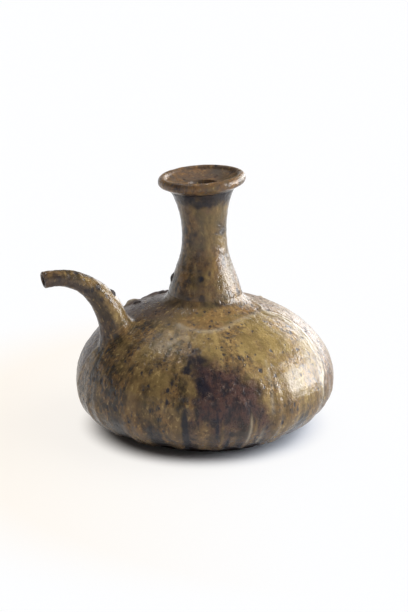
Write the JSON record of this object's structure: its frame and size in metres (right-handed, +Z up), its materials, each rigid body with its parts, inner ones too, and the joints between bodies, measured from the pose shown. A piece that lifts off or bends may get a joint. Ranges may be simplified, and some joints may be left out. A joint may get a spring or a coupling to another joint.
{
  "type": "pouring bottle",
  "caption": "Squat stoneware spirit bottle with a flattened round body, a trumpet neck with a rolled lip and a curved hollow pouring spout, under a runny ash glaze.",
  "frame": {"origin": "centre of the foot, on the surface that the bottle stands on", "axes": "+Z up along the body's axis, -X along the spout, +Y across it"},
  "size_m": [0.2289, 0.2, 0.2011],
  "materials": {
    "bare_clay": "bare dark reddish-brown fired clay, matte and gritty",
    "ochre_glaze": "runny ochre to olive ash glaze with blue-black specks, glossy",
    "brown_glaze": "thin brown ash glaze over dark clay, satin to glossy",
    "kiln_crumb": "dark fused kiln grit, rough"
  },
  "bodies": {
    "root": {"base_disc": "bare_clay", "lower_body": "ochre_glaze", "upper_body": "ochre_glaze", "neck": "ochre_glaze", "neck_luting_coil": "brown_glaze", "rolled_lip": "brown_glaze", "spout": "ochre_glaze", "spout_luting_coil": "brown_glaze", "spout_crumb": "kiln_crumb", "neck_crumb": "kiln_crumb", "shoulder_crumb_1": "kiln_crumb", "shoulder_crumb_2": "kiln_crumb", "shoulder_crumb_3": "kiln_crumb", "shoulder_crumb_4": "kiln_crumb"}
  },
  "joints": []
}
